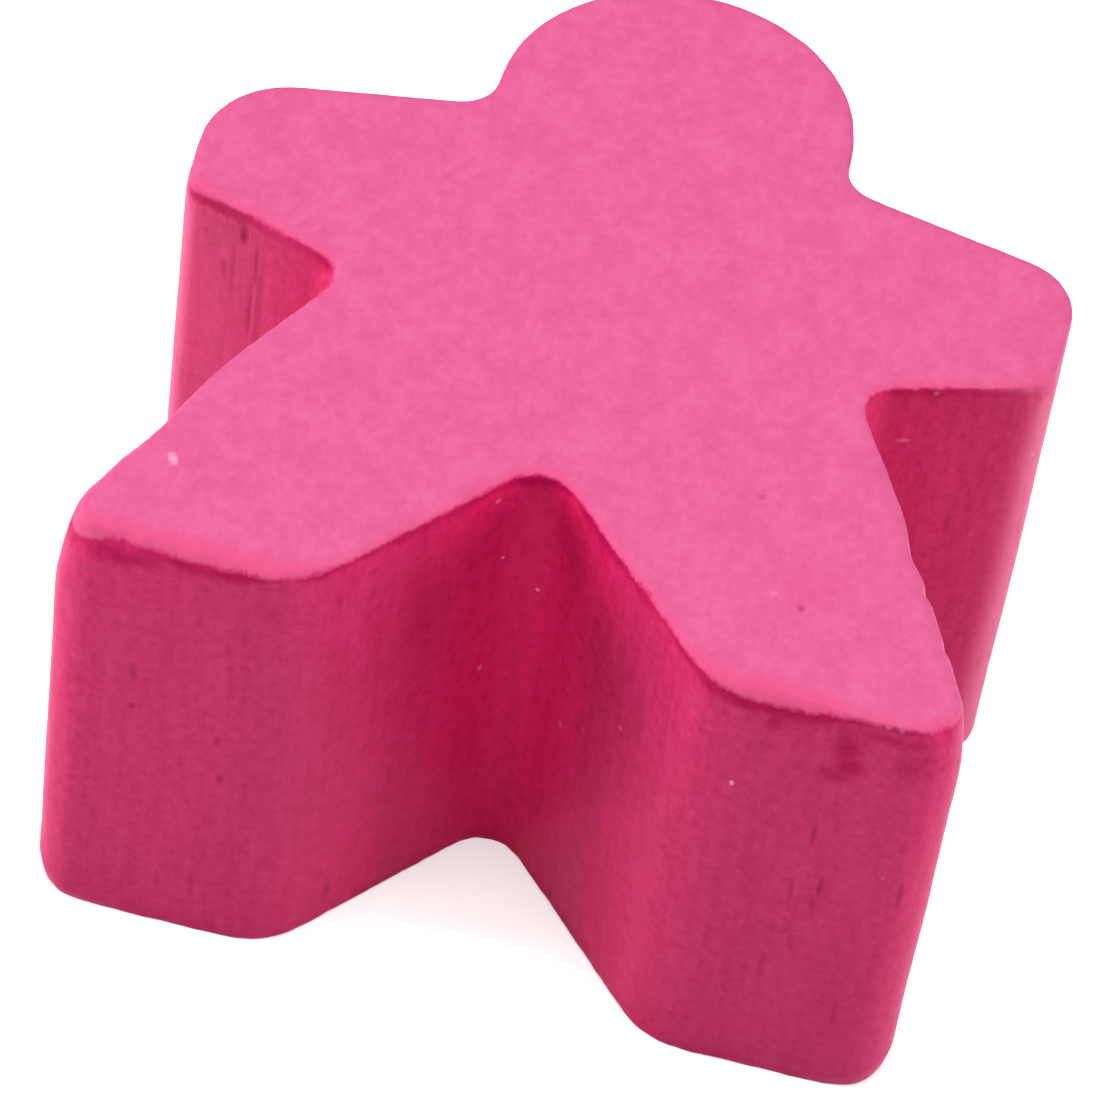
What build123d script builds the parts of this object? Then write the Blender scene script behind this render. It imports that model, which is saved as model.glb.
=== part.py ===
from build123d import *

import os
from math import hypot

# Wooden meeple, lying on one of its two large faces. Millimetres.
# It is one slice of a moulded hardwood stick, so its outline is the same at every height and the
# grain runs straight up through the thickness. +X is across the arms, +Y is towards the head and
# +Z is up through the thickness. The origin is under the middle of its box, on the lower face.

# Driving dimensions. Heights are measured from the soles, and widths from the middle of the arms.
THICKNESS = 10.0        # length of the slice, along the grain
ARM_SPAN = 16.0         # between the flat ends of the arms
HEAD_RADIUS = 3.3
HEAD_HEIGHT = 13.1      # soles to the centre of the head
HEAD_OFFSET = 0.1       # the head stands slightly to one side of the arms' middle

SHOULDER_HEIGHT = 13.0  # where the two shoulder lines meet, inside the head
SHOULDER_DROP = 0.21    # fall of a shoulder line for each millimetre outwards
HAND_LOW_HEIGHT = 8.55  # lower corner of the arm's end

ARMPIT_HALF_WIDTH = 4.6
ARMPIT_HEIGHT = 7.4
LEFT_FOOT_OUTER = 8.55  # outer corner of a sole, before it is rounded
RIGHT_FOOT_OUTER = 8.45
FOOT_INNER = 3.5        # inner corner of a sole, before it is rounded
CROTCH_HEIGHT = 4.05
CROTCH_OFFSET = -0.2    # the gap between the legs leans slightly the other way from the head

# Radii that the cutter leaves at those corners, seen from above.
NECK_RADIUS = 0.73
LEFT_HAND_TOP_RADIUS = 1.8
RIGHT_HAND_TOP_RADIUS = 1.2
HAND_LOW_RADIUS = 0.6
ARMPIT_RADIUS = 0.55
FOOT_OUTER_RADIUS = 0.85
FOOT_INNER_RADIUS = 1.7
CROTCH_RADIUS = 0.75

ARRIS_RADIUS = 0.1      # sanding and paint soften the two sawn edges


def side_corners(side, hand_top_radius, foot_outer):
    """Corners of one side from the shoulder to the sole, each with its radius. side is 1 or -1."""
    half_span = ARM_SPAN / 2
    hand_top_height = SHOULDER_HEIGHT - SHOULDER_DROP * half_span
    return [
        (side * half_span, hand_top_height, hand_top_radius),
        (side * half_span, HAND_LOW_HEIGHT, HAND_LOW_RADIUS),
        (side * ARMPIT_HALF_WIDTH, ARMPIT_HEIGHT, ARMPIT_RADIUS),
        (side * foot_outer, 0.0, FOOT_OUTER_RADIUS),
        (side * FOOT_INNER, 0.0, FOOT_INNER_RADIUS),
    ]


def corners_below_head():
    """Down the left side, through the gap between the legs and up the right side."""
    left = side_corners(-1, LEFT_HAND_TOP_RADIUS, LEFT_FOOT_OUTER)
    crotch = (CROTCH_OFFSET, CROTCH_HEIGHT, CROTCH_RADIUS)
    right = side_corners(1, RIGHT_HAND_TOP_RADIUS, RIGHT_FOOT_OUTER)
    return left + [crotch] + right[::-1]


def nearest_vertex(shape, x, y):
    return min(shape.vertices(), key=lambda v: hypot(v.X - x, v.Y - y))


def outline():
    """The moulded outline as one face, with its soles on Y = 0."""
    corners = corners_below_head()
    shoulder_peak = (0.0, SHOULDER_HEIGHT)
    torso = make_face(Polyline(*[(x, y) for x, y, _ in corners], shoulder_peak, close=True))
    head = Pos(HEAD_OFFSET, HEAD_HEIGHT) * Circle(HEAD_RADIUS)
    shape = (torso + head).clean()
    neck_height = SHOULDER_HEIGHT - SHOULDER_DROP * HEAD_RADIUS
    for side in (-1, 1):
        neck = nearest_vertex(shape, HEAD_OFFSET + side * HEAD_RADIUS, neck_height)
        shape = fillet(neck, NECK_RADIUS)
    for x, y, radius in corners:
        shape = fillet(nearest_vertex(shape, x, y), radius)
    return shape


def wooden_body():
    """The whole meeple: the outline drawn up through the thickness, with both sawn edges softened."""
    stick_slice = extrude(outline(), THICKNESS)
    sawn_edges = stick_slice.edges().filter_by(Plane.XY)
    softened = fillet(sawn_edges, ARRIS_RADIUS)
    middle = softened.bounding_box().center()
    return Pos(-middle.X, -middle.Y, 0) * softened


def main():
    os.makedirs("parts", exist_ok=True)
    body = wooden_body()
    export_step(body, "parts/wooden_body.step")
    box = body.bounding_box()
    print("size", box.size, "from", box.min, "volume", round(body.volume, 1))


main()
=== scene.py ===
import math

import bmesh
import bpy
import numpy as np
from mathutils import Matrix, Vector
from mathutils.geometry import delaunay_2d_cdt


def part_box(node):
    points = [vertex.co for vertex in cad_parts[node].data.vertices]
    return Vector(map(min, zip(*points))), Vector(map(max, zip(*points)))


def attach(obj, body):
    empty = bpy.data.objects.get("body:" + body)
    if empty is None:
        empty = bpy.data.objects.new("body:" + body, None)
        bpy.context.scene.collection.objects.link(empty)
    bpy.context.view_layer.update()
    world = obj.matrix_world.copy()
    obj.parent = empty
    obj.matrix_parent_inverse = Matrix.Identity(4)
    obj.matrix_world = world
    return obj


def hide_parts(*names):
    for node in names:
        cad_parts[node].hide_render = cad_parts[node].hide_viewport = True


# Looks of the wooden meeple. The CAD body gives the outline and the thickness, and one detailed mesh
# stands for it, with worn corners, torn rims, wood grain and open pores. Sizes are in millimetres
# until the mesh is written. Places are in the frame's axes: +X right, +Y to the head and +Z up.

MM = 0.001

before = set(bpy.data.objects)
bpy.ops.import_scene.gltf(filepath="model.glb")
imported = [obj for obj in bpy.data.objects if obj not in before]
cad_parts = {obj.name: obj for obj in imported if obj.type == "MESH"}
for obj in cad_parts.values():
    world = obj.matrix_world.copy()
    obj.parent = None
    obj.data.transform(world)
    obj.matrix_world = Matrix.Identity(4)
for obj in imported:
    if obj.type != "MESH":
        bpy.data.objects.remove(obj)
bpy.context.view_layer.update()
CAD_NODE = "wooden_body"
LOW, HIGH = (np.array(corner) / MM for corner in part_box(CAD_NODE))
THICKNESS = HIGH[2] - LOW[2]
SOLE = LOW[1]           # the plane of both soles, in y

# How finely the body is meshed.
COLUMNS = 1120          # around the outline
WALL_ROWS = 62          # from rim to rim
RIM_ROWS = 5            # round each worn rim
ROW_CROWDING = 0.5      # 0 spaces the wall's rows evenly, 1 crowds them against the rims
CAP_SPACING = 0.23      # between the points inside a sawn face
CAP_JITTER = 0.2        # share of that spacing by which they stray
CAP_MARGIN = 0.12       # they keep this far from the rim
FACET_BLUR = 2.0        # columns over which the CAD mesh's short facets are evened out


# ---------------------------------------------------------------- noise and marks

def smooth_step(t):
    return t * t * (3 - 2 * t)


def wall_noise(seed, rows, cells_up, cells_round):
    """Soft noise from -1 to 1 on rows by COLUMNS, which closes on itself around the outline."""
    rng = np.random.default_rng(seed)
    grid = rng.uniform(-1, 1, (cells_up + 2, cells_round))
    up = np.linspace(0, cells_up, rows)[:, None]
    across = (np.arange(COLUMNS) * cells_round / COLUMNS)[None, :]
    row, column = up.astype(int), across.astype(int)
    u, v = smooth_step(up - row), smooth_step(across - column)
    right = (column + 1) % cells_round
    below = grid[row, column] * (1 - v) + grid[row, right] * v
    above = grid[row + 1, column] * (1 - v) + grid[row + 1, right] * v
    return below * (1 - u) + above * u


def ring_noise(seed, cells):
    """Soft noise from -1 to 1 around the outline."""
    return wall_noise(seed, 1, 1, cells)[0]


def marked(points, marks):
    """How strongly each point is marked. A mark is x, y, z, half width, half height, strength."""
    total = np.zeros(points.shape[:-1])
    for x, y, z, half_width, half_height, strength in marks:
        flat = ((points[..., 0] - x) ** 2 + (points[..., 1] - y) ** 2) / half_width ** 2
        tall = (points[..., 2] - z) ** 2 / half_height ** 2
        total = np.maximum(total, strength * np.exp(-flat - tall))
    return total


def placed(points, marks):
    """The marks, with those on the wall moved sideways onto the nearest point of the outline."""
    moved = []
    for x, y, z, *rest in marks:
        if z < THICKNESS:
            x, y = points[((points - (x, y)) ** 2).sum(axis=1).argmin()]
        moved.append((float(x), float(y), z, *rest))
    return moved


# ---------------------------------------------------------------- outline

def cad_outline():
    """The CAD body's outline at half its thickness, as an ordered loop of points."""
    cut = bmesh.new()
    cut.from_mesh(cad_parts[CAD_NODE].data)
    middle = (0, 0, (LOW[2] + HIGH[2]) / 2 * MM)
    bmesh.ops.remove_doubles(cut, verts=cut.verts, dist=1e-7)
    found = bmesh.ops.bisect_plane(
        cut, geom=cut.verts[:] + cut.edges[:] + cut.faces[:],
        plane_co=middle, plane_no=(0, 0, 1), clear_inner=True, clear_outer=True)
    edge = next(g for g in found["geom_cut"] if isinstance(g, bmesh.types.BMEdge))
    loop = [edge.verts[0]]
    while edge.other_vert(loop[-1]) is not loop[0]:
        loop.append(edge.other_vert(loop[-1]))
        edge = next(e for e in loop[-1].link_edges if e is not edge)
    points = np.array([v.co.xy for v in loop]) / MM
    cut.free()
    return points


def signed_area(points):
    x, y = points.T
    return 0.5 * np.sum(x * np.roll(y, -1) - y * np.roll(x, -1))


def blurred(values, columns):
    """Values around the outline, evened out over about that many columns."""
    turns = np.fft.fftfreq(len(values))
    keep = np.exp(-2 * (np.pi * turns * columns) ** 2)
    keep = keep[:, None] if values.ndim == 2 else keep
    return np.fft.ifft(np.fft.fft(values, axis=0) * keep, axis=0).real


def even_outline():
    """The outline as COLUMNS evenly spaced points, anticlockwise from the top of the head."""
    points = cad_outline()
    if signed_area(points) < 0:
        points = points[::-1]
    points = np.roll(points, -points[:, 1].argmax(), axis=0)
    closed = np.vstack([points, points[:1]])
    reach = np.concatenate([[0], np.cumsum(np.linalg.norm(np.diff(closed, axis=0), axis=1))])
    stops = np.arange(COLUMNS) * reach[-1] / COLUMNS
    even = np.stack([np.interp(stops, reach, closed[:, i]) for i in (0, 1)], axis=1)
    return blurred(even, FACET_BLUR)


def outward(points):
    """Unit directions out of an anticlockwise outline."""
    along = np.roll(points, -1, axis=0) - np.roll(points, 1, axis=0)
    along /= np.linalg.norm(along, axis=1)[:, None]
    return np.stack([along[:, 1], -along[:, 0]], axis=1)


# ---------------------------------------------------------------- wear of the two rims

TOP_WEAR = (0.03, 0.10)     # in from the wall, and down from the sawn face
BOTTOM_WEAR = (0.04, 0.10)
LEAST_WEAR = (0.02, 0.04)   # so that a rim never folds over itself
WORN_TOP = [                # x, y, extra in, extra down, reach along the outline
    (-7.75, -7.3, 0.36, 1.7, 0.95),   # left foot, outer corner
    (-7.2, -5.6, 0.33, 1.1, 1.5),     # left shin
    (7.7, -7.2, 0.20, 1.2, 0.8),      # right foot, outer corner
    (7.2, -5.8, 0.18, 0.7, 1.4),      # right shin
    (6.3, -4.2, 0.14, 0.5, 0.5),      # dents up the right shin
    (6.72, -5.02, 0.10, 0.3, 0.16),
    (7.3, -6.1, 0.07, 0.2, 0.14),
    (-7.9, 0.6, 0.05, 0.4, 0.8),      # left hand
    (7.9, 0.6, 0.06, 0.4, 0.8),       # right hand
    (-6.4, SOLE, 0.20, 0.08, 1.2),    # soles
    (-4.6, SOLE, 0.25, 0.10, 1.2),
    (4.6, SOLE, 0.25, 0.12, 1.2),
]
WORN_BOTTOM = [
    (-7.7, -7.5, 0.12, 0.5, 0.8),
    (7.6, -7.5, 0.14, 0.6, 0.8),
]
RAGGED_IN = 0.05        # how far the saw's torn fibres move the upper rim in and out
RAGGED_DOWN = 0.05
BOTTOM_RAGGED = 0.3     # the lower rim is this much as ragged as the upper one


def raggedness(normals):
    """How ragged the rims are, from 0 to 1. The saw tore the ones that face the feet."""
    return np.clip(0.15 - 1.1 * normals[:, 1], 0.08, 1)


def rim_wear(points, ragged, everywhere, spots, seed):
    """How far a rim is worn in and down at each column, with a ragged edge."""
    inward = np.full(COLUMNS, everywhere[0])
    down = np.full(COLUMNS, everywhere[1])
    for x, y, extra_in, extra_down, reach in spots:
        near = np.exp(-((points[:, 0] - x) ** 2 + (points[:, 1] - y) ** 2) / reach ** 2)
        inward += extra_in * near
        down += extra_down * near
    wander = 0.3 * ring_noise(seed, 70) + 0.7 * ring_noise(seed + 1, 200)
    wander += 0.6 * ring_noise(seed + 2, 420)
    rise = ring_noise(seed + 3, 60) + 0.6 * ring_noise(seed + 4, 260)
    inward += RAGGED_IN * ragged * wander
    down += RAGGED_DOWN * ragged * rise
    return np.maximum(inward, LEAST_WEAR[0]), np.maximum(down, LEAST_WEAR[1])


def crowded(count):
    """Steps from 0 to 1 that are closer together at both ends."""
    t = np.linspace(0, 1, count)
    return t - ROW_CROWDING * np.sin(2 * np.pi * t) / (2 * np.pi)


def smooth_wall(points, normals, ragged):
    """Rows of points from the lower sawn face, over both rims, to the upper one."""
    top_in, top_down = rim_wear(points, ragged, TOP_WEAR, WORN_TOP, seed=11)
    low_in, low_down = rim_wear(points, BOTTOM_RAGGED * ragged, BOTTOM_WEAR, WORN_BOTTOM, seed=21)
    share = np.linspace(0, 1, RIM_ROWS + 1)[1:]
    inset, height = [], []
    for t in share[::-1]:
        inset.append(low_in * t)
        height.append(low_down * (1 - t) ** 2)
    for step in crowded(WALL_ROWS):
        inset.append(np.zeros(COLUMNS))
        height.append(low_down + step * (THICKNESS - low_down - top_down))
    for t in share:
        inset.append(top_in * t)
        height.append(THICKNESS - top_down * (1 - t) ** 2)
    flat = points[None] - normals[None] * np.array(inset)[..., None]
    return np.dstack([flat, np.array(height)])


# ---------------------------------------------------------------- grain, pores and torn wood

# What the mesh tells the paint at each point. "edge" is the way in from the border between the
# wall's paint and the sawn face's, in millimetres, and the others are strengths from 0 up.
TRAITS = ("edge", "torn", "pore", "corner_shade", "thin", "dark", "painted_sheen")

# Each mark is x, y, z, half width, half height, strength. First the open pores that stand out.
PORES = [
    # left sole
    (-6.3, SOLE, 5.8, 0.05, 0.08, 1.0),
    (-6.3, SOLE, 6.7, 0.06, 0.25, 0.6),
    (-4.75, SOLE, 5.4, 0.06, 0.13, 0.7),
    (-4.65, SOLE, 4.4, 0.06, 0.12, 0.7),
    (-5.6, SOLE, 1.1, 0.06, 0.35, 0.35),
    (-5.0, SOLE, 1.3, 0.06, 0.3, 0.35),
    (-2.7, -7.2, 0.8, 0.10, 0.25, 0.5),
    # right sole
    (5.75, SOLE, 6.8, 0.045, 0.32, 0.7),
    (5.55, SOLE, 5.2, 0.045, 0.32, 0.6),
    (6.05, SOLE, 5.45, 0.045, 0.25, 1.0),
    (6.0, SOLE, 4.9, 0.06, 0.25, 0.5),
    (7.4, SOLE, 5.7, 0.05, 0.38, 0.8),
    (5.75, SOLE, 3.8, 0.06, 0.2, 0.5),
    (5.4, SOLE, 4.0, 0.05, 0.15, 0.4),
    (5.3, SOLE, 2.9, 0.06, 0.35, 0.5),
    (6.75, SOLE, 2.1, 0.04, 0.4, 0.6),
    (2.75, -7.4, 2.3, 0.06, 0.08, 0.7),
    # under the left arm
    (-6.65, -0.1, 9.5, 0.08, 0.24, 0.85),
    (-6.42, -0.2, 8.9, 0.04, 0.45, 0.7),
    (-6.44, -0.2, 7.7, 0.04, 0.7, 0.7),
    (-6.30, -0.2, 8.0, 0.08, 1.2, 0.35),
    (-6.85, -0.05, 8.5, 0.06, 0.7, 0.35),
    (-7.0, 0.0, 8.45, 0.06, 0.2, 0.4),
    # under the right arm
    (6.7, -0.1, 9.35, 0.06, 0.07, 0.6),
    (6.65, -0.1, 6.5, 0.05, 0.3, 0.6),
    (5.9, -0.35, 8.1, 0.07, 0.09, 0.5),
    # upper face
    (4.65, -6.1, THICKNESS, 0.07, 0.1, 0.5),
    (3.5, -3.8, THICKNESS, 0.07, 0.1, 0.35),
]
# Patches where the saw tore more of the wall, below its upper rim.
TORN_PATCHES = [
    (6.0, SOLE, 9.2, 0.25, 0.45, 1.0),
    (6.1, SOLE, 8.75, 0.28, 0.25, 1.1),
    (5.8, SOLE, 8.45, 0.30, 0.16, 0.95),
    (4.75, SOLE, 9.45, 0.20, 0.26, 0.9),
    (7.3, SOLE, 9.1, 0.55, 0.45, 0.5),
    (-6.75, SOLE, 9.58, 0.75, 0.20, 0.9),
    (6.6, SOLE, 9.65, 0.9, 0.14, 0.7),
    (-5.05, -1.8, 9.6, 0.2, 0.35, 0.9),
]
# Rims that it left clean.
CLEAN_RIMS = [
    (7.3, -0.15, THICKNESS, 1.1, 9, 0.75),
    (-5.9, -0.3, THICKNESS, 0.8, 9, 0.6),
]
# Painted shade in the corners between the limbs: a deeper, more saturated colour there, with less gloss
# and no sheen.
CORNER_SHADE_MARKS = [
    (-0.2, -4.4, 5.5, 3.0, 30, 1.0),
    (2.4, -6.5, 1.5, 1.5, 4, 0.7),
    (-2.4, -6.3, 1.0, 1.5, 3, 0.6),
    (4.7, -1.0, 5.5, 1.7, 30, 0.45),
    (-4.7, -1.0, 5.5, 1.3, 30, 0.35),
]
# It is thin on these bits of the upper face.
THIN_PAINT = [
    (7.6, 0.6, THICKNESS, 0.3, 1, 0.8),
    (5.0, -5.6, THICKNESS, 2.6, 1, 0.5),
]
# Painted shade between the legs and in the right armpit, and a darker tone on the soles.
SHADE_AND_DARK_TONE = [
    (5.5, -7.5, 3.5, 4.0, 9, 0.10),
    (2.6, -6.8, 2.0, 1.2, 3.5, 0.14),
    (-0.2, -4.5, 5.5, 0.55, 30, 0.10),
    (2.2, -6.2, 8.5, 1.5, 4.5, 0.24),
    (-2.4, -5.8, 9.0, 1.6, 2.8, 0.20),
    (0.7, -5.2, 9.5, 0.8, 1.2, 0.25),
    (-1.1, -4.9, 9.6, 0.7, 1.1, 0.12),
    (-3.6, -7.7, 6.0, 1.2, 6, 0.12),
    (4.7, -1.0, 6.5, 1.4, 30, 0.10),
    (1.3, -5.6, 9.6, 0.9, 0.9, 0.16),
]
# Painted sheen on the arms' outer corners, and painted light on the left arm's underside: both turn
# pale.
PAINTED_SHEEN_MARKS = [
    (-7.1, 0.0, 5.0, 1.2, 30, 0.12),
    (8.0, 0.35, 5.0, 0.36, 30, 0.45),
    (-8.0, 0.35, 5.0, 0.32, 30, 0.4),
]
# The upper face's pink laps over the rim, by the last number in millimetres.
LAPS = [
    (-5.2, SOLE, THICKNESS, 1.7, 9, 0.17),
    (-7.6, -7.7, THICKNESS, 0.7, 9, 0.42),
    (-7.0, -5.6, THICKNESS, 2.0, 9, 0.55),
    (4.6, SOLE, THICKNESS, 1.3, 9, 0.20),
    (7.1, -5.4, THICKNESS, 1.9, 9, 0.35),
    (-7.9, 0.9, THICKNESS, 0.9, 9, 0.22),
    (7.9, 0.9, THICKNESS, 0.9, 9, 0.22),
]
# Specks of pale dust in the paint, and two painted glints on the right sole's upper rim.
FLECKS_AND_GLINTS = [
    (4.2, SOLE, 7.6, 0.04, 0.06, 0.6),
    (7.05, SOLE, 6.1, 0.04, 0.05, 0.15),
    # painted glints on the right sole's upper rim
    (6.6, SOLE, 9.95, 0.05, 0.05, 0.3),
    (6.8, SOLE, 9.93, 0.05, 0.05, 0.2),
    (-0.7, -4.75, 7.95, 0.03, 0.035, 0.7),
    (0.0, -4.55, 7.15, 0.04, 0.04, 0.6),
    (-0.85, -4.95, 9.6, 0.06, 0.06, 0.2),
    (2.0, -6.55, 6.4, 0.05, 0.06, 0.15),
    (-0.8, -4.85, 5.1, 0.06, 0.08, 0.2),
    (0.9, -5.2, 4.6, 0.06, 0.08, 0.15),
    (5.55, -0.45, 8.7, 0.12, 0.05, 0.2),
    (5.95, -0.35, 9.9, 0.05, 0.05, 0.25),
    (7.9, 0.45, 8.15, 0.05, 0.05, 0.3),
    (-6.40, -6.06, THICKNESS, 0.07, 0.1, 0.35),
    (-6.36, -6.13, THICKNESS, 0.08, 0.1, 0.5),
    (-6.32, -6.20, THICKNESS, 0.07, 0.1, 0.35),
    (4.15, -5.9, THICKNESS, 0.05, 0.1, 0.15),
]
SMALL_PORES = 300       # how many more pores are scattered over the wall
SMALL_PORE_WIDTH = (0.035, 0.05)
SMALL_PORE_HEIGHT = (0.08, 0.35)
SMALL_PORE_STRENGTH = (0.1, 0.45)
SMALL_PORE_MARGIN = 0.4     # they keep this far from the sawn faces
PORE_DEPTH = 0.02
TORN_DEPTH = 0.03
TORN_REACH = 0.16       # how far down from the painted edge the saw tore most of the wood
TORN_FADE = 0.12        # and over how much that ends
TORN_STRONG = 0.65      # this share of the tearing ends there, and the rest fades out further down
TORN_LOW = 0.4          # the lower rim is this much as torn as the upper one
RIM_THINNESS = 0.6      # how thin the paint is on the worn rims
RELIEF = [              # height in millimetres, seed, cells up, cells around
    (0.016, 51, 4, 26),
    (0.008, 52, 6, 120),
    (0.003, 53, 14, 330),
    (0.003, 54, 60, 500),
]


def small_pores(points):
    """Short open pores, scattered over the wall and drawn out along the grain."""
    rng = np.random.default_rng(5)
    marks = []
    for column in rng.integers(0, COLUMNS, SMALL_PORES):
        width, height = rng.uniform(*SMALL_PORE_WIDTH), rng.uniform(*SMALL_PORE_HEIGHT)
        z = rng.uniform(SMALL_PORE_MARGIN, THICKNESS - SMALL_PORE_MARGIN)
        marks.append((*points[column], z, width, height, rng.uniform(*SMALL_PORE_STRENGTH)))
    return marks


def torn_band(grid, ragged, lap):
    """How torn the wood is, most of it just below the upper rim and some above the lower one."""
    reach = TORN_REACH * (1 + 0.6 * ring_noise(41, 45) + 0.5 * ring_noise(42, 200))
    strength = np.clip(0.2 + 0.7 * ragged + 0.25 * ring_noise(43, 40), 0, 1)
    strength = strength * (1 - marked(grid[-1], CLEAN_RIMS))
    depth = THICKNESS - grid[..., 2] - lap
    near = np.clip(0.5 + (reach - depth) / TORN_FADE, 0, 1)
    far = np.clip(1 - depth / (5 * reach), 0, 1)
    upper = TORN_STRONG * near + (1 - TORN_STRONG) * far
    lower = TORN_LOW * np.clip(1 - grid[..., 2] / (3 * reach), 0, 1)
    return strength * np.maximum(upper, lower)


def wall_relief(rows):
    """Height of the wall's grain and unevenness, in millimetres."""
    return sum(height * wall_noise(seed, rows, up, around) for height, seed, up, around in RELIEF)


def carved_wall(points, normals, ragged):
    """The wall's points with their grain, pores and torn wood, and what the paint needs to know."""
    grid = smooth_wall(points, normals, ragged)
    rows = len(grid)
    pore = marked(grid, small_pores(points))
    pits = np.maximum(pore, marked(grid, placed(points, PORES)))
    lap = marked(grid[-1], LAPS)
    band = torn_band(grid, ragged, lap)
    torn = np.maximum(band, marked(grid, placed(points, TORN_PATCHES)))
    pitted = 0.5 + 0.5 * wall_noise(44, rows, 60, 420)
    relief = wall_relief(rows) - PORE_DEPTH * pits - TORN_DEPTH * torn * pitted
    relief[:RIM_ROWS] = relief[RIM_ROWS]            # each worn rim keeps its round shape
    relief[-RIM_ROWS:] = relief[-RIM_ROWS - 1]
    traits = {
        "edge": np.maximum(lap - THICKNESS + grid[..., 2], -grid[..., 2]),
        "torn": torn,
        "pore": pore,
        "corner_shade": marked(grid, CORNER_SHADE_MARKS),
        "thin": np.repeat(ragged[None], rows, axis=0) + RIM_THINNESS * (grid[..., 2] < THICKNESS),
        "dark": marked(grid, SHADE_AND_DARK_TONE),
        "painted_sheen": marked(grid, PAINTED_SHEEN_MARKS),
    }
    grid[..., :2] += normals[None] * relief[..., None]
    return grid, traits


# ---------------------------------------------------------------- sawn faces

THIN_REACH = 0.4        # how far in from a ragged rim the paint is thin


def inside(points, loop):
    """Which points lie inside a closed loop."""
    x, y = points[:, 0][:, None], points[:, 1][:, None]
    x0, y0 = loop.T
    x1, y1 = np.roll(loop, -1, axis=0).T
    crosses = (y0 > y) != (y1 > y)
    with np.errstate(divide="ignore", invalid="ignore"):
        meets = x < (x1 - x0) * (y - y0) / (y1 - y0) + x0
    return (crosses & meets).sum(axis=1) % 2 == 1


def nearest(loop, points):
    """Which point of a loop is nearest to each point, and how far away it is."""
    squares = [((loop - p) ** 2).sum(axis=1) for p in points]
    return np.array([s.argmin() for s in squares]), np.sqrt([s.min() for s in squares])


def cap_points(loop, seed):
    """Slightly uneven points that fill a sawn face."""
    rng = np.random.default_rng(seed)
    rows = np.arange(loop[:, 1].min(), loop[:, 1].max(), CAP_SPACING * math.sqrt(3) / 2)
    grid = []
    for number, y in enumerate(rows):
        start = loop[:, 0].min() + CAP_SPACING / 2 * (number % 2)
        xs = np.arange(start, loop[:, 0].max(), CAP_SPACING)
        grid.append(np.stack([xs, np.full(len(xs), y)], axis=1))
    grid = np.vstack(grid)
    grid += rng.uniform(-CAP_JITTER, CAP_JITTER, grid.shape) * CAP_SPACING
    grid = grid[inside(grid, loop)]
    return grid[nearest(loop, grid)[1] > CAP_MARGIN]


def filled(loop, inner):
    """Triangles over a sawn face. The loop's points come first, then the points inside it."""
    points = [Vector(p) for p in np.vstack([loop, inner])]
    count = len(loop)
    rim = [(i, (i + 1) % count) for i in range(count)]
    made = delaunay_2d_cdt(points, rim, [], 1, 1e-6)
    if len(made[0]) != len(points):
        raise ValueError("a sawn face gained or lost points while it was filled")
    return [tuple(face) for face in made[2]]


def cap(loop, ragged, height, seed):
    """The inner points of a sawn face, its triangles and what the paint needs to know."""
    inner = cap_points(loop, seed)
    column, gap = nearest(loop, inner)
    points = np.column_stack([inner, np.full(len(inner), height)])
    by_the_rim = ragged[column] * np.clip(1 - gap / THIN_REACH, 0, 1)
    traits = {name: np.zeros(len(inner)) for name in TRAITS}
    traits["edge"] = gap
    traits["thin"] = np.maximum(by_the_rim, marked(points, THIN_PAINT))
    return points, filled(loop, inner), traits


# ---------------------------------------------------------------- body

def wall_faces(rows):
    """Four-sided faces between rows of points that close on themselves."""
    row, column = np.mgrid[0:rows - 1, 0:COLUMNS]
    a = row * COLUMNS + column
    b = row * COLUMNS + (column + 1) % COLUMNS
    return np.stack([a, b, b + COLUMNS, a + COLUMNS], axis=-1).reshape(-1, 4).tolist()


def body_mesh(points):
    normals = outward(points)
    ragged = raggedness(normals)
    grid, traits = carved_wall(points, normals, ragged)
    rows = len(grid)
    places = [grid.reshape(-1, 3)]
    traits = {name: [values.reshape(-1)] for name, values in traits.items()}
    faces = wall_faces(rows)
    for row, height, order, seed in ((0, 0.0, -1, 31), (rows - 1, THICKNESS, 1, 32)):
        inner, triangles, more = cap(grid[row, :, :2], ragged, height, seed)
        first = sum(len(p) for p in places)
        index = np.concatenate([np.arange(COLUMNS) + row * COLUMNS, np.arange(len(inner)) + first])
        faces += [[int(index[i]) for i in triangle[::order]] for triangle in triangles]
        places.append(inner)
        for name, values in more.items():
            traits[name].append(values)
    mesh = bpy.data.meshes.new("meeple")
    mesh.from_pydata((np.vstack(places) * MM).tolist(), [], faces)
    mesh.shade_smooth()
    for name, values in traits.items():
        stored = mesh.attributes.new(name, "FLOAT", "POINT")
        stored.data.foreach_set("value", np.concatenate(values).astype(np.float32))
    return mesh


def body():
    points = even_outline()
    piece = bpy.data.objects.new("painted_meeple", body_mesh(points))
    bpy.context.scene.collection.objects.link(piece)
    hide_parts(CAD_NODE)
    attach(piece, "root")
    piece.data.materials.append(paint(points))


# ---------------------------------------------------------------- paint

WALL_DEEP = (0.345, 0.004, 0.060)
WALL_PALE = (0.428, 0.019, 0.106)
# Colours of the painted shade in the corners between the limbs.
CORNER_SHADE_DEEP = (0.455, 0.005, 0.056)
CORNER_SHADE_PALE = (0.585, 0.012, 0.094)
PAINTED_SHEEN_COLOUR = (0.560, 0.170, 0.270)   # the pale colour of that painted sheen and light
# Paint on the sawn faces, paler and pinker than on the walls; part of that is a painted reflection of
# the light overhead.
SAWN_DEEP = (0.375, 0.052, 0.142)
SAWN_PALE = (0.412, 0.073, 0.174)
RIM_COLOUR = (0.425, 0.040, 0.112)      # thin paint on the sawn face, next to its rims
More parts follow.
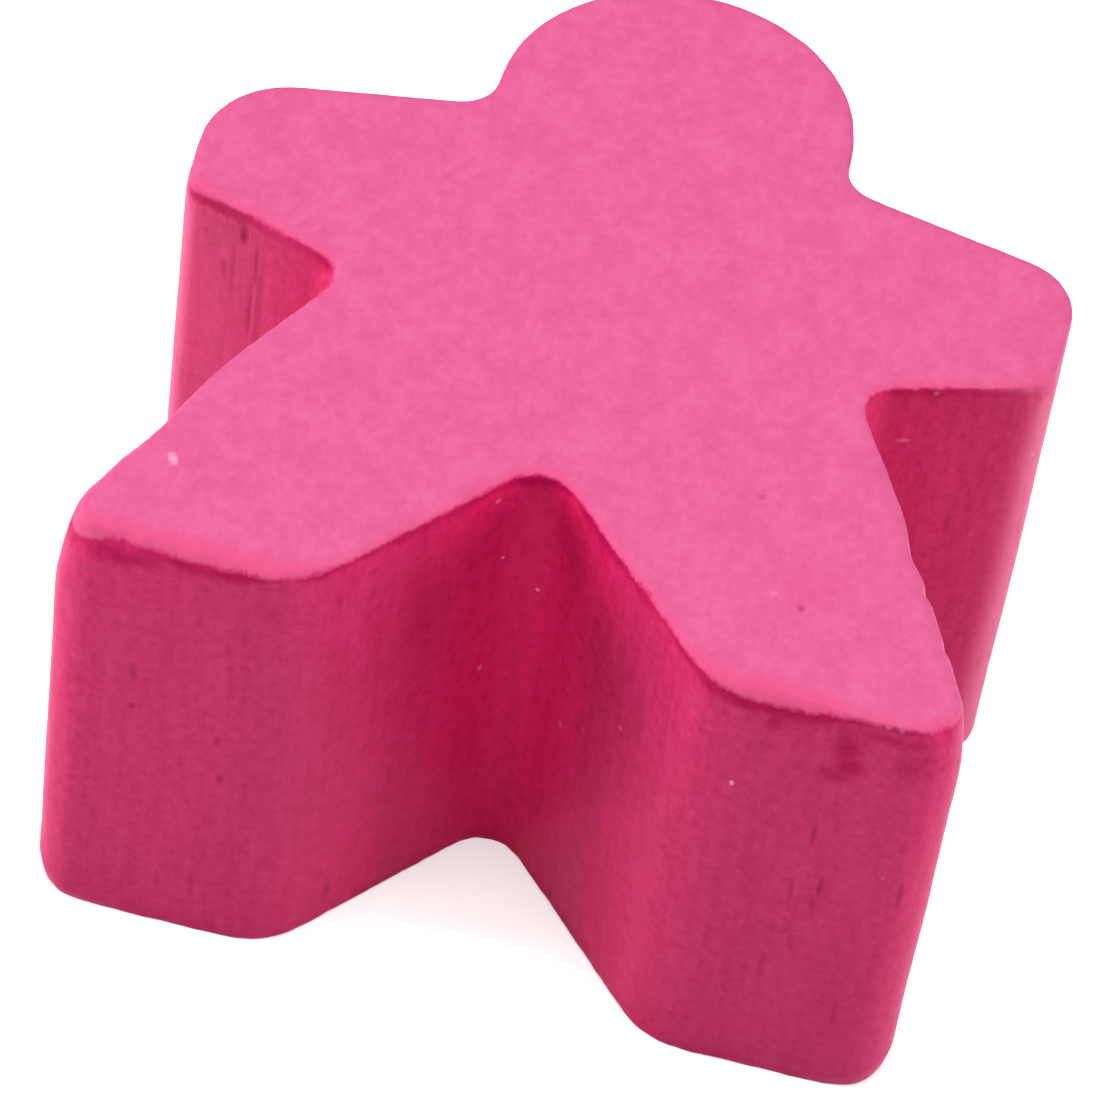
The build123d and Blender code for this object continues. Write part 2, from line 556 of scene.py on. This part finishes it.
# Torn wood's colour. Its darkest band, just under the upper rim, is also painted shade among the fibres.
TORN_AND_SHADE_COLOUR = (0.275, 0.001, 0.045)
PORE_COLOUR = (0.220, 0.000, 0.036)
FLECK_AND_GLINT_COLOUR = (0.60, 0.30, 0.38)
GRAIN_SPREAD = (0.38, 0.62)     # the noise over which a deep colour turns into its pale one
SPOT_FADE = (0.5, 1.4)          # a small mark fades out between these shares of its half widths
SAWN_STRAY = 0.07       # how far the fibres push the border of the sawn face's paint
THIN_STRAY = 0.4        # and how much they vary how thin the paint is, and how torn the wood
TORN_STRAY = 0.35
LOW_SHADE = 0.90        # share of its brightness that the paint keeps by the lower face: painted shade near the floor
LOW_REACH = 0.6         # share of the thickness over which it gets that dark
GLOSS = 0.08            # the painted shade in the corners has less of it, and no sheen
CORNER_SHADE_GLOSS = 0.3 * GLOSS
SHEEN = 0.15
SHEEN_ROUGHNESS = 0.25
SHEEN_COLOUR = (1, 0.75, 0.85)
BUMP = 0.012            # height of the finest fibres, in millimetres


class Shader:
    """Short words for building one material's nodes, in its Principled shader's tree."""

    def __init__(self, name):
        self.material = bpy.data.materials.new(name)
        self.material.use_nodes = True
        self.tree = self.material.node_tree
        self.surface = self.tree.nodes["Principled BSDF"]

    def node(self, kind, **settings):
        made = self.tree.nodes.new(kind)
        for name, value in settings.items():
            setattr(made, name, value)
        return made

    def feed(self, socket, value):
        """A socket takes another node's output or a plain value."""
        if isinstance(value, bpy.types.NodeSocket):
            self.tree.links.new(value, socket)
        else:
            socket.default_value = (*value, 1) if socket.type == "RGBA" else value

    def trait(self, name):
        return self.node("ShaderNodeAttribute", attribute_name=name).outputs["Fac"]

    def place(self):
        return self.node("ShaderNodeTexCoord").outputs["Object"]

    def noise(self, per_mm, detail=3.0, roughness=0.5):
        """Soft noise from 0 to 1, with that many waves per millimetre along x, y and z."""
        spread = self.node("ShaderNodeMapping")
        self.feed(spread.inputs["Vector"], self.place())
        self.feed(spread.inputs["Scale"], [n / MM for n in per_mm])
        made = self.node("ShaderNodeTexNoise")
        self.feed(made.inputs["Vector"], spread.outputs["Vector"])
        self.feed(made.inputs["Scale"], 1.0)
        self.feed(made.inputs["Detail"], detail)
        self.feed(made.inputs["Roughness"], roughness)
        return made.outputs["Fac"]

    def fit(self, value, low, high, to_low=0.0, to_high=1.0):
        """A value's way from low to high, as a number from to_low to to_high."""
        made = self.node("ShaderNodeMapRange")
        for name, amount in zip(("Value", "From Min", "From Max", "To Min", "To Max"),
                                (value, low, high, to_low, to_high)):
            self.feed(made.inputs[name], amount)
        return made.outputs["Result"]

    def maths(self, operation, a, b):
        made = self.node("ShaderNodeMath", operation=operation)
        self.feed(made.inputs[0], a)
        self.feed(made.inputs[1], b)
        return made.outputs["Value"]

    def vector(self, operation, a, b):
        made = self.node("ShaderNodeVectorMath", operation=operation)
        self.feed(made.inputs[0], a)
        self.feed(made.inputs["Scale" if operation == "SCALE" else 1], b)
        return made.outputs["Vector"]

    def length(self, vector):
        made = self.node("ShaderNodeVectorMath", operation="LENGTH")
        self.feed(made.inputs[0], vector)
        return made.outputs["Value"]

    def height(self):
        parts = self.node("ShaderNodeSeparateXYZ")
        self.feed(parts.inputs["Vector"], self.place())
        return parts.outputs["Z"]

    def spots(self, marks):
        """The strongest of some marks at each place, for marks that are too small for the mesh."""
        place = self.place()
        total = 0.0
        for x, y, z, half_width, half_height, strength in marks:
            reach = self.vector("SUBTRACT", place, [n * MM for n in (x, y, z)])
            reach = self.vector("DIVIDE", reach, [n * MM for n in (half_width, half_width, half_height)])
            spot = self.fit(self.length(reach), *SPOT_FADE, strength, 0)
            total = self.maths("MAXIMUM", total, spot)
        return total

    def shaded(self, colour, share):
        """A colour with only that share of its brightness."""
        return self.vector("SCALE", colour, share)

    def blend(self, *parts):
        """The sum of values, each times its own plain weight."""
        total = None
        for value, weight in parts:
            part = value if weight == 1 else self.maths("MULTIPLY", value, weight)
            total = part if total is None else self.maths("ADD", total, part)
        return total

    def mix(self, share, a, b):
        made = self.node("ShaderNodeMix", data_type="RGBA")
        self.feed(made.inputs["Factor"], share)
        self.feed(made.inputs["A"], a)
        self.feed(made.inputs["B"], b)
        return made.outputs["Result"]


def paint(points):
    """Thin satin paint. It soaks into the wood, so the grain, the pores and torn wood show through."""
    s = Shader("satin_pink_paint")
    edge, torn, pore, corner_shade, thin, dark, painted_sheen = (s.trait(name) for name in TRAITS)
    bands = s.noise((0.9, 0.9, 0.06), detail=2)
    streaks = s.noise((6, 6, 0.6), detail=3, roughness=0.6)
    mottle = s.noise((1.4, 1.0, 1.4), detail=4, roughness=0.65)
    speckle = s.noise((4.5, 4.5, 4.5), detail=4, roughness=0.75)
    dust = s.noise((4.5, 3.3, 4.5), detail=4, roughness=0.75)
    fibres = s.noise((9, 9, 5), detail=3, roughness=0.65)

    grain = s.blend((bands, 0.20), (streaks, 0.27), (speckle, 0.53))
    wall = s.mix(s.fit(grain, *GRAIN_SPREAD), WALL_DEEP, WALL_PALE)
    # Painted shade: the corners between the limbs turn to a deeper, more saturated colour.
    blotches = s.blend((bands, 0.15), (streaks, 0.25), (speckle, 0.6))
    corner_shaded = s.mix(s.fit(blotches, *GRAIN_SPREAD), CORNER_SHADE_DEEP, CORNER_SHADE_PALE)
    wall = s.mix(corner_shade, wall, corner_shaded)
    # Painted sheen and light: the arms' outer corners and the left arm's underside turn pale.
    wall = s.mix(painted_sheen, wall, PAINTED_SHEEN_COLOUR)
    # Painted shade: the wall darkens towards the lower face, by the floor.
    wall = s.shaded(wall, s.fit(s.height(), 0, LOW_REACH * THICKNESS * MM, LOW_SHADE, 1))
    # Painted shade between the legs and in the right armpit, and a darker tone on the soles: the wall is
    # darkened there.
    wall = s.shaded(wall, s.fit(dark, 0, 1, 1, 0))
    cloud = s.blend((mottle, 0.45), (dust, 0.55))
    # The sawn faces' colour, which carries a painted reflection of the light overhead.
    face = s.mix(s.fit(cloud, *GRAIN_SPREAD), SAWN_DEEP, SAWN_PALE)

    stray = s.fit(fibres, 0.3, 0.7, -0.5, 0.5)
    thinned = s.fit(s.blend((thin, 1), (stray, THIN_STRAY)), 0.35, 0.95, 0, 0.6)
    face = s.mix(thinned, face, RIM_COLOUR)
    # Torn wood, and painted shade among its fibres just under the upper rim: the wall turns dark there.
    torn_and_shade = s.fit(s.blend((torn, 1), (stray, TORN_STRAY)), 0.12, 0.95)
    wall = s.mix(torn_and_shade, wall, TORN_AND_SHADE_COLOUR)
    sawn = s.fit(s.blend((edge, 1), (stray, SAWN_STRAY)), -0.05, 0.03)

    colour = s.mix(sawn, wall, face)
    colour = s.mix(pore, colour, PORE_COLOUR)
    colour = s.mix(s.spots(placed(points, PORES)), colour, PORE_COLOUR)
    # Pale dust specks, and painted glints on the right sole's upper rim.
    colour = s.mix(s.spots(placed(points, FLECKS_AND_GLINTS)), colour, FLECK_AND_GLINT_COLOUR)
    s.feed(s.surface.inputs["Base Color"], colour)

    rough = s.fit(streaks, 0.2, 0.8, 0.46, 0.58)
    s.feed(s.surface.inputs["Roughness"], s.blend((rough, 1), (torn_and_shade, 0.3)))
    # The painted shade in the corners also lowers the gloss and takes away the sheen.
    s.feed(s.surface.inputs["Specular IOR Level"], s.fit(corner_shade, 0, 1, GLOSS, CORNER_SHADE_GLOSS))
    s.feed(s.surface.inputs["Sheen Weight"], s.fit(corner_shade, 0, 1, SHEEN, 0))
    s.feed(s.surface.inputs["Sheen Roughness"], SHEEN_ROUGHNESS)
    s.feed(s.surface.inputs["Sheen Tint"], SHEEN_COLOUR)

    bump = s.node("ShaderNodeBump")
    s.feed(bump.inputs["Height"], s.blend((streaks, 0.4), (speckle, 0.8), (fibres, 0.4)))
    s.feed(bump.inputs["Distance"], BUMP * MM)
    s.feed(s.surface.inputs["Normal"], bump.outputs["Normal"])
    return s.material


# ---------------------------------------------------------------- camera, floor and light

# Where the camera looks from, and how: a close view with a long lens.
VIEW_AZIMUTH = math.radians(-6.34)
VIEW_ELEVATION = math.radians(48.1)
VIEW_ROLL = math.radians(8.83)
VIEW_DISTANCE = 105.4
VIEW_AIM = Vector((-0.22, -1.68, THICKNESS / 2))
LENS = 190.2
SENSOR = 36.0


def camera():
    flat = math.cos(VIEW_ELEVATION)
    forward = Vector((
        math.sin(VIEW_AZIMUTH) * flat, math.cos(VIEW_AZIMUTH) * flat, -math.sin(VIEW_ELEVATION)))
    level = Vector((math.cos(VIEW_AZIMUTH), -math.sin(VIEW_AZIMUTH), 0))
    up = level.cross(forward)
    right = level * math.cos(VIEW_ROLL) + up * math.sin(VIEW_ROLL)
    top = up * math.cos(VIEW_ROLL) - level * math.sin(VIEW_ROLL)
    turn = Matrix((right, top, -forward)).transposed()
    data = bpy.data.cameras.new("camera")
    data.lens = LENS
    data.sensor_width = SENSOR
    data.clip_start = 1 * MM
    eye = bpy.data.objects.new("camera", data)
    eye.matrix_world = Matrix.Translation((VIEW_AIM - forward * VIEW_DISTANCE) * MM) @ turn.to_4x4()
    bpy.context.scene.collection.objects.link(eye)
    bpy.context.scene.camera = eye


FLOOR_HALF = 600        # half the floor's side
FLOOR_COLOUR = (0.70, 0.70, 0.70)
FLOOR_GLOW = 0.33       # the light of its own that keeps the floor white up to the meeple
FLOOR_SHINE = 0.5
BACKDROP_RADIUS = 420
BACKDROP_COLOUR = (0, 0, 0)
BACKDROP_GLOW = 0.80
BACKDROP_SHINE = 0
STAGE_ROUGHNESS = 0.9


def staged(name, mesh, colour, glow, shine):
    """An object around the meeple, in one plain material that gives light of its own."""
    thing = bpy.data.objects.new(name, mesh)
    bpy.context.scene.collection.objects.link(thing)
    s = Shader("pale_" + name)
    s.feed(s.surface.inputs["Base Color"], colour)
    s.feed(s.surface.inputs["Roughness"], STAGE_ROUGHNESS)
    s.feed(s.surface.inputs["Specular IOR Level"], shine)
    s.feed(s.surface.inputs["Emission Color"], (1, 1, 1))
    s.feed(s.surface.inputs["Emission Strength"], glow)
    mesh.materials.append(s.material)
    return thing


def floor():
    corners = [(-1, -1), (1, -1), (1, 1), (-1, 1)]
    places = [(x * FLOOR_HALF * MM, y * FLOOR_HALF * MM, 0) for x, y in corners]
    mesh = bpy.data.meshes.new("floor")
    mesh.from_pydata(places, [], [(0, 1, 2, 3)])
    staged("floor", mesh, FLOOR_COLOUR, FLOOR_GLOW, FLOOR_SHINE)


def backdrop():
    """A pale dome over the floor, so that low views aren't dark behind the meeple. It lights nothing."""
    mesh = bpy.data.meshes.new("backdrop")
    form = bmesh.new()
    bmesh.ops.create_uvsphere(form, u_segments=64, v_segments=32, radius=BACKDROP_RADIUS * MM)
    form.to_mesh(mesh)
    form.free()
    dome = staged("backdrop", mesh, BACKDROP_COLOUR, BACKDROP_GLOW, BACKDROP_SHINE)
    dome.visible_diffuse = False
    dome.visible_glossy = False
    dome.visible_transmission = False
    dome.visible_shadow = False
    mesh.materials[0].cycles.emission_sampling = "NONE"


SKY = 0.02              # strength of the even light from all round
# Name, place, size and power in watts of each large soft light. All face the meeple.
LIGHTS = [
    ("overhead", (0, 0, 300), 200, 1.22),
    ("left", (-300, -20, 110), 200, 1.68),
    ("right", (300, -20, 110), 200, 1.08),
    ("front", (-20, -190, 240), 240, 0.16),
]


def soft_light(name, place, size, power):
    data = bpy.data.lights.new(name, "AREA")
    data.size = size * MM
    data.energy = power
    lamp = bpy.data.objects.new(name, data)
    lamp.location = Vector(place) * MM
    aim = Vector((0, 0, THICKNESS / 2)) * MM - lamp.location
    lamp.rotation_euler = aim.to_track_quat("-Z", "Y").to_euler()
    lamp.visible_camera = False
    bpy.context.scene.collection.objects.link(lamp)


def light():
    scene = bpy.context.scene
    scene.view_settings.view_transform = "Standard"
    scene.world = bpy.data.worlds.new("studio")
    scene.world.use_nodes = True
    sky = scene.world.node_tree.nodes["Background"]
    sky.inputs["Color"].default_value = (1, 1, 1, 1)
    sky.inputs["Strength"].default_value = SKY
    for name, place, size, power in LIGHTS:
        soft_light(name, place, size, power)


camera()
floor()
backdrop()
light()
body()
